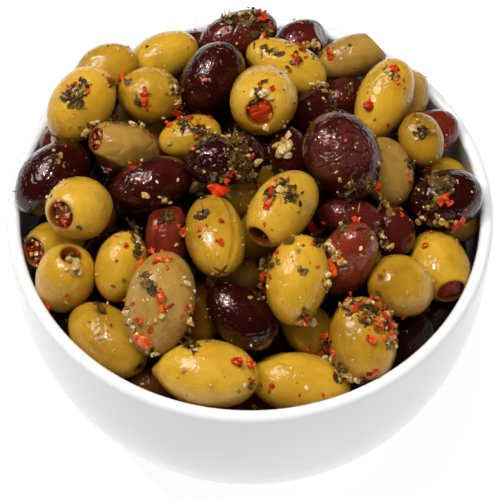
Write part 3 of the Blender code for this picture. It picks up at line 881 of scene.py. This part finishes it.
def scatter(toppings):
    """The toppings at the places in the tables, and more of them by chance."""
    chili, garlic, herb, speck = toppings.chili, toppings.garlic, toppings.herb, toppings.speck
    for make, places, low, high in ((chili, CHILI, 0.9, 1.1), (garlic, GARLIC, 0.8, 1.0)):
        for across, down, size in places:
            make(toppings.seen(across, down), size * draw(low, high))
    for *ends, count, spread in STRIPS:
        start, end = np.reshape(ends, (2, 2))
        for _ in range(count):
            at = start + (end - start) * draw() + random.normal(0, spread * 0.5, 2)
            toppings.any_of(toppings.seen(*at), (0.6, garlic, 0.9, 2.3), (0.72, chili, 0.8, 1.8),
                            (1, herb, 1.2, 3.0))
    for across, down, spread, count in HERBS:
        mats = ((herb, int(count * 1.5), 0.62, 1.0, 3.0), (speck, count // 2, 0.75, 0.3, 0.8),
                (garlic, count // 9, 0.7, 0.8, 1.8))
        for make, number, share, low, high in mats:
            for _ in range(number):
                at = random.normal((across, down), spread * share)
                make(toppings.seen(*at), draw(low, high))
    for across, down, size in LEAVES:
        shape = flake(size, LEAF, draw(0.45, 0.65), 0.35, 12)
        colour = shade_of(HERB_COLOURS[:3], 0.2)
        toppings.put("herb", toppings.seen(across, down), shape, colour, 0.15, 0.35)
    for _ in range(SPECK_TRIES):
        place = toppings.around()
        if place is not None and noise(place[0] / (9 * MM), 21) > draw(-0.5, 0.6):
            speck(place, draw(0.25, 0.65))
    for make, count, low, high in ((herb, 110, 0.5, 1.6), (chili, 90, 0.6, 1.6), (garlic, 120, 0.6, 1.4)):
        for _ in range(count):
            make(toppings.around(), draw(low, high))
    for across, down, length, heading in TWIGS:
        place = toppings.seen(across, down)
        normal = place[1]
        direction = RIGHT * cos(radians(heading)) + UP * sin(radians(heading))
        direction = unit(direction - normal * (direction @ normal))
        axes = np.stack((direction, np.cross(normal, direction), normal))
        toppings.put("twig", place, blade(length, 0.42, 0.36, 0.05), TWIG_COLOUR, 0, 0.45, axes)
    across, down, long, wide = PEPPER
    hit, normal = toppings.seen(across, down)
    points, faces = chip(1 / CHIP_RADIUS, FINE_BALL, 1, 7, 0.5)
    place = (hit - UP * 2.5 * MM - TOWARDS * 1.0 * MM, normal)
    shape = (points * (long / 2, wide / 2, 1.0), faces)
    toppings.put("pepper", place, shape, PEPPER_COLOUR, 0, 0, np.stack((RIGHT, UP, -TOWARDS)))


# Each plug's colour, how deep it lies in the hole in mm, and how many spicy bits lie on it
PLUGS = {
    "pimento": ((0.42, 0.034, 0.004), 0.35, 0),
    "dark_pimento": ((0.29, 0.026, 0.005), 0.35, 0),
    "bits": ((0.20, 0.028, 0.006), 1.6, 26),
    "deep": ((0.12, 0.022, 0.005), 3.6, 9),
}
PLUG_RINGS = 11
PLUG_SEGMENTS = 40


def make_plugs(olives, middles, axes):
    """What fills the pitting holes: a strip of pimento, or a hollow with places for spicy bits."""
    plugs = Gathered()
    crumbs = []
    for o, middle, axis in zip(olives, middles, axes):
        if not o.plug:
            continue
        top = hole_start(o)[1]
        turn = frame_of(axis, np.array((0, 0, 1.0)), 0)
        colour, depth, bits = PLUGS[o.plug]
        for _ in range(bits):
            out = o.hole * 0.85 * np.sqrt(draw())
            heading = draw(0, tau)
            height = top - depth + draw(-0.2, 1.0)
            local = np.array((out * cos(heading), out * sin(heading), height))
            crumbs.append((middle + local @ turn * MM, axis))
        share = np.linspace(0, 1, PLUG_RINGS)
        radii = np.concatenate((o.hole * 0.985 * share, [o.hole * 0.9, 0]))
        heights = np.concatenate((top - depth - 1.1 * share ** 2.5, [top - depth - 2.2, top - depth - 2.4]))
        local, faces, ring_of = turned_grid(radii, heights, PLUG_SEGMENTS)
        seed = draw(0, 100, 3)
        fold = hump(local[:, 0] + 0.25 * local[:, 1] + 1.2 * noise(local * 0.5 + seed, 13), 0.3)
        fold *= ring_of < PLUG_RINGS
        lumps = 0.45 * noise(local * 0.55 + seed, 14) + 0.12 * noise(local * 1.7 + seed, 15)
        local[:, 2] += (ring_of < PLUG_RINGS) * lumps - 0.22 * fold
        # Painted shade: the plug is darker along its fold
        tint = np.array(colour) * ((1 + 0.25 * noise(local * 0.8 + seed, 16)) * (1 - 0.25 * fold))[:, None]
        plugs.add(middle + local @ turn * MM, faces, local + seed, tint)
    return plugs, crumbs


def stain(pieces, toppings):
    """Brown spots and scars on the skins, where the picture shows them."""
    for across, down, size in STAINS:
        middle = toppings.seen(across, down)[0]
        for piece in pieces:
            for i, points in enumerate(piece.points):
                distance = norm(points - middle, axis=1)
                if distance.min() > size * MM:
                    continue
                edge = size * MM * (1 + 0.3 * noise(points / MM * 0.9, 17))
                inside = np.clip((edge - distance) / (edge * 0.4), 0, 1)
                piece.tint[i] = piece.tint[i] * (1 - inside[:, None] * IN_STAIN)


# Materials

def connect(tree, socket, value):
    if isinstance(value, bpy.types.NodeSocket):
        tree.links.new(value, socket)
    else:
        socket.default_value = value


def node(tree, kind, inputs=(), **settings):
    made = tree.nodes.new(kind)
    for key, value in settings.items():
        setattr(made, key, value)
    for key, value in dict(inputs).items():
        connect(tree, made.inputs[key], value)
    return made


def new_material(name, **values):
    material = bpy.data.materials.new(name)
    material.use_nodes = True
    tree = material.node_tree
    shader = tree.nodes["Principled BSDF"]
    for key, value in values.items():
        shader.inputs[key.replace("_", " ").title().replace("Ior", "IOR")].default_value = value
    return material, tree, shader


def attribute(tree, name, output):
    return node(tree, "ShaderNodeAttribute", attribute_name=name).outputs[output]


def mixed(tree, share, a, b, blend="MIX"):
    colours = (value if isinstance(value, bpy.types.NodeSocket) else (*value, 1) for value in (a, b))
    inputs = dict(zip((0, 6, 7), (share, *colours)))
    return node(tree, "ShaderNodeMix", inputs, data_type="RGBA", blend_type=blend).outputs[2]


def tinged(tree, share, paint, factor):
    """Paint multiplied by a colour, as far as the share goes."""
    return mixed(tree, share, paint, mixed(tree, 1.0, paint, factor, "MULTIPLY"))


def bump(tree, shader, height, distance, strength=1.0, socket="Normal"):
    made = node(tree, "ShaderNodeBump", {"Height": height, "Strength": strength, "Distance": distance})
    tree.links.new(made.outputs["Normal"], shader.inputs[socket])


def noise_node(tree, vector, scale, detail=3, distortion=0.0, roughness=0.55):
    made = node(tree, "ShaderNodeTexNoise", {"Vector": vector, "Scale": scale, "Detail": detail,
                                             "Roughness": roughness, "Distortion": distortion})
    return made.outputs["Fac"]


def ramp(tree, value, low, high):
    made = node(tree, "ShaderNodeMapRange", {"Value": value, "From Min": low, "From Max": high})
    return made.outputs["Result"]


def stretched(tree, vector, scale):
    return node(tree, "ShaderNodeMapping", {"Vector": vector, "Scale": scale}).outputs["Vector"]


def sparse_dots(tree, own, scale, radius, share):
    """Dots of this radius in mm, in a share of the cells of a random honeycomb: 1 in a dot's middle."""
    cells = node(tree, "ShaderNodeTexVoronoi", {"Vector": own, "Scale": scale, "Randomness": 1.0})
    dot = ramp(tree, cells.outputs["Distance"], radius * scale, 0.0)
    pick = node(tree, "ShaderNodeSeparateColor", {"Color": cells.outputs["Color"]}).outputs["Red"]
    chosen = ramp(tree, pick, share + 0.001, share - 0.001)
    return node(tree, "ShaderNodeMath", {0: dot, 1: chosen}, operation="MULTIPLY").outputs[0]


def times(tree, value, factor, plus=0.0):
    return node(tree, "ShaderNodeMath", {0: value, 1: factor, 2: plus}, operation="MULTIPLY_ADD").outputs[0]


def skin_material(kind, patches, patch_share, roughness, dents, subsurface, gloss, gloss_tint=(1, 1, 1, 1)):
    """Oiled olive skin: paint, soft patches, fine lengthwise mottling, pale dots, and an uneven film."""
    material, tree, shader = new_material(
        kind + "_skin", roughness=roughness, ior=1.42, coat_weight=1.0, coat_roughness=0.02, coat_ior=1.4,
        subsurface_weight=subsurface, subsurface_scale=0.0012, subsurface_radius=(1.0, 0.55, 0.15),
        specular_ior_level=gloss, specular_tint=gloss_tint)
    own = attribute(tree, "own", "Vector")
    lengthwise = stretched(tree, own, (1, 1, 0.28))
    mottle = ramp(tree, noise_node(tree, lengthwise, 0.55, 4, 0.4), 0.35, 0.72)
    cloud = ramp(tree, noise_node(tree, own, 0.16, 2, 0.6), 0.5, 0.75)
    pale = sparse_dots(tree, own, 0.95, 0.14, 0.9)
    pits = sparse_dots(tree, stretched(tree, own, (1.1, 0.9, 1.0)), 0.33, 0.26, 0.18)
    paint = tinged(tree, mottle, attribute(tree, "tint", "Color"), patches)
    paint = tinged(tree, times(tree, cloud, patch_share), paint, (0.74, 0.68, 0.5))
    paint = tinged(tree, times(tree, pale, 0.4), paint, (1.25, 1.3, 1.9))
    paint = tinged(tree, times(tree, pits, 0.6), paint, (0.4, 0.32, 0.3))
    tree.links.new(paint, shader.inputs["Base Color"])
    bump(tree, shader, noise_node(tree, lengthwise, 2.2, 3), 0.0002, 0.35)
    film = times(tree, noise_node(tree, own, 0.34, 0, 1.4), dents)
    film = times(tree, noise_node(tree, own, 0.8, 0, 1.0), 0.08, film)
    film = times(tree, sparse_dots(tree, own, 0.5, 0.5, 0.4), 0.24, film)
    film = times(tree, sparse_dots(tree, own, 1.0, 0.26, 0.35), 0.12, film)
    bump(tree, shader, times(tree, pits, -0.12, film), 0.001, socket="Coat Normal")
    return material


def bit_material(name, roughness, subsurface, scale, strength, wet=0.9, film_scale=0.8):
    """Oily crumbs and flakes: paint with lighter and darker grain, and a wet film."""
    material, tree, shader = new_material(
        name, roughness=roughness, ior=1.42, coat_weight=wet, coat_roughness=0.04, coat_ior=1.4,
        subsurface_weight=subsurface, subsurface_scale=0.0006, specular_ior_level=0.2)
    own = attribute(tree, "own", "Vector")
    paint = attribute(tree, "tint", "Color")
    grain = noise_node(tree, own, scale, 4, 0.5)
    darker = mixed(tree, 1.0, paint, (0.6, 0.55, 0.5), "MULTIPLY")
    lighter = mixed(tree, 1.0, paint, (1.2, 1.25, 1.25), "MULTIPLY")
    tree.links.new(mixed(tree, ramp(tree, grain, 0.35, 0.7), darker, lighter), shader.inputs["Base Color"])
    bump(tree, shader, grain, 0.0004, strength)
    bump(tree, shader, noise_node(tree, own, film_scale, 0), 0.0005, socket="Coat Normal")
    return material


def glaze_material():
    """White glaze: hardly uneven, with a few fine specks and a soft waviness."""
    material, tree, shader = new_material("white_glaze", roughness=0.16, ior=1.5, coat_weight=0.35,
                                          coat_roughness=0.03)
    place = node(tree, "ShaderNodeTexCoord").outputs["Object"]
    tone = ramp(tree, noise_node(tree, place, 22, 3), 0.3, 0.7)
    paint = mixed(tree, tone, (0.795, 0.795, 0.79), (0.835, 0.833, 0.83))
    dots = node(tree, "ShaderNodeTexVoronoi", {"Vector": place, "Scale": 130})
    paint = mixed(tree, ramp(tree, dots.outputs["Distance"], 0.035, 0.015), paint, (0.62, 0.60, 0.56))
    tree.links.new(paint, shader.inputs["Base Color"])
    bump(tree, shader, noise_node(tree, place, 34, 2), 0.0004, 0.12)
    return material


def near_black_shade_material():
    """The inside of the heap, painted near black: painted shade where the gaps between olives reach it."""
    material, tree, shader = new_material("painted_shade_core", roughness=0.6, specular_ior_level=0.15)
    place = node(tree, "ShaderNodeTexCoord").outputs["Object"]
    tone = ramp(tree, noise_node(tree, place, 160, 3, 0.5), 0.35, 0.7)
    paint = mixed(tree, tone, (0.006, 0.003, 0.002), (0.03, 0.012, 0.004))
    tree.links.new(paint, shader.inputs["Base Color"])
    bump(tree, shader, noise_node(tree, place, 420, 3), 0.001, 0.6)
    return material


CORE_STEPS = 96
CORE_EDGE_DEPTH = 30 * MM
CORE_DROP = 24 * MM          # of its top, below the mound
CORE_CLEARANCE = 0.6 * MM


def make_core():
    """A smaller heap under the olives, with lumps in its top, whose near black paint is painted shade."""
    floor_depth = HEIGHT - FLOOR_THICKNESS - CORE_CLEARANCE
    edge = inner_radius(CORE_EDGE_DEPTH) - CORE_CLEARANCE
    low = HEIGHT - CORE_EDGE_DEPTH
    top = [(edge * share, low) for share in np.linspace(0, 1, 40)]
    depths = CORE_EDGE_DEPTH + (floor_depth - CORE_EDGE_DEPTH) * np.sin(np.linspace(0, pi / 2, 14)[1:-1])
    side = [(inner_radius(depth) - CORE_CLEARANCE * 1.4, HEIGHT - depth) for depth in depths]
    mesh = turned(top + side + [(0, HEIGHT - floor_depth)], CORE_STEPS)
    points = np.array([corner.co for corner in mesh.vertices])
    x, y, z = points.T
    out = np.hypot(x, y)
    on_top = (z > low - 0.00001) & (out < edge - 0.00001)
    lumps = 3.5 * MM * noise(points / (9 * MM), 18) + 1.2 * MM * noise(points / (2.5 * MM), 19)
    raised = np.maximum(mound_height(x, y) - CORE_DROP + lumps, low)
    points[:, 2] = np.where(on_top, z + (raised - z) * smooth_step(edge, edge * 0.9, out), z)
    mesh.vertices.foreach_set("co", points.ravel())
    mesh.update()
    dress(placed("painted_shade_core", mesh), near_black_shade_material(), "olive_heap")


# The room

FLOOR_REACH = 6.0
FLOOR_GLOW = 0.84
WORLD_LIGHT = 0.04


def add_light(name, direction, distance, size, power, height=None, shiny=True, soft=True):
    """A soft panel that faces the bowl from a direction, and may leave no highlight, or only highlights."""
    light = bpy.data.lights.new(name, "AREA")
    light.shape = "RECTANGLE"
    light.size = size
    light.size_y = height or size
    light.energy = power
    lamp = placed(name, light)
    lamp.visible_glossy = shiny
    lamp.visible_diffuse = soft
    direction = Vector(unit(np.array(direction, float)))
    lamp.location = Vector((0, 0, HEIGHT)) + direction * distance
    lamp.rotation_euler = direction.to_track_quat("Z", "Y").to_euler()


def make_room():
    mesh = bpy.data.meshes.new("floor")
    corners = [(x * FLOOR_REACH, y * FLOOR_REACH, 0) for x, y in ((-1, -1), (1, -1), (1, 1), (-1, 1))]
    mesh.from_pydata(corners, [], [(0, 1, 2, 3)])
    floor = placed("floor", mesh)
    material, _, _ = new_material(
        "pale_floor", roughness=0.9, specular_ior_level=0.1, base_color=(0.25, 0.25, 0.25, 1),
        emission_color=(1, 1, 1, 1), emission_strength=FLOOR_GLOW)
    mesh.materials.append(material)
    world = bpy.data.worlds.new("studio")
    bpy.context.scene.world = world
    world.use_nodes = True
    background = world.node_tree.nodes["Background"]
    background.inputs["Color"].default_value = (1, 1, 1, 1)
    background.inputs["Strength"].default_value = WORLD_LIGHT
    add_light("key", (-0.53, 0.07, 0.84), 0.9, 0.52, 6.5, 0.45, soft=False)
    add_light("key_wash", (-0.18, 0.05, 0.98), 0.9, 0.5, 5.8, shiny=False)
    add_light("top", (0.05, 0.1, 1), 1.1, 0.6, 2.0, shiny=False)
    add_light("spark", (-0.50, 0.0, 0.86), 0.88, 0.035, 3.0)
    add_light("fill", (0.50, -0.50, 0.9), 1.3, 1.2, 6.4, 0.8, shiny=False)
    bpy.context.scene.view_settings.view_transform = "Standard"


def add_camera():
    camera = placed("camera", bpy.data.cameras.new("camera"))
    camera.location = EYE
    pitch = VIEW_ELEVATION + atan((PICTURE / 2 - RIM_MIDDLE[1]) / VIEW_FOCAL)
    camera.rotation_euler = (pi / 2 - pitch, 0, 0)
    camera.data.sensor_width = SENSOR
    camera.data.lens = SENSOR * VIEW_FOCAL / PICTURE
    bpy.context.scene.camera = camera


# Patches' colour and share, roughness, the film's dents, subsurface, gloss and its colour
SKIN_LOOKS = {
    "green": ((0.92, 0.88, 0.76), 0.6, 0.38, 0.36, 0.25, 0.08),
    "khaki": ((0.82, 0.84, 0.85), 0.7, 0.42, 0.42, 0.25, 0.08),
    "dark": ((0.7, 0.55, 0.6), 0.6, 0.18, 0.42, 0.05, 0.2, (1, 0.35, 0.3, 1)),
    "red": ((0.8, 0.65, 0.55), 0.5, 0.2, 0.45, 0.1, 0.2, (1, 0.4, 0.35, 1)),
}
# Piece, smooth or angular, roughness, subsurface, the grain's scale and height, wetness, the film's scale
BIT_LOOKS = {
    "pimento": ("pimento_plugs", True, 0.3, 0.2, 1.2, 0.3),
    "chili": ("chili_flakes", False, 0.3, 0.25, 1.6, 0.5),
    "garlic": ("garlic_bits", False, 0.4, 0.3, 1.4, 0.6),
    "herb": ("herb_flakes", True, 0.45, 0.0, 2.5, 0.6, 0.55, 1.6),
    "speck": ("spice_specks", False, 0.4, 0.1, 2.5, 0.4),
    "twig": ("herb_stalks", True, 0.5, 0.0, 3.0, 0.5),
    "pepper": ("pepper_piece", True, 0.25, 0.2, 0.7, 0.25),
}


def main():
    add_camera()
    make_room()
    bowl = placed("white_bowl", turned(bowl_profile(), BOWL_STEPS))
    dress(bowl, glaze_material(), "bowl")
    make_core()
    kinds, under, middles, axes = make_olives()
    plugs, crumbs = make_plugs(OLIVES, middles, axes)
    toppings = Toppings([*kinds.values(), under, plugs])
    toppings.parts["pimento"] = plugs
    stain(kinds.values(), toppings)
    for place in crumbs:
        toppings.any_of(place, (0.45, toppings.chili, 0.8, 1.7), (0.75, toppings.garlic, 0.8, 1.5),
                        (1, toppings.herb, 0.8, 1.6))
    scatter(toppings)
    skins = {kind: skin_material(kind, *look) for kind, look in SKIN_LOOKS.items()}
    for kind, olives in kinds.items():
        olives.build(kind + "_olives", skins[kind])
    under.build("lower_olives", skins["green"])
    for part, (name, smooth, *look) in BIT_LOOKS.items():
        toppings.parts[part].build(name, bit_material(part, *look), smooth)


main()
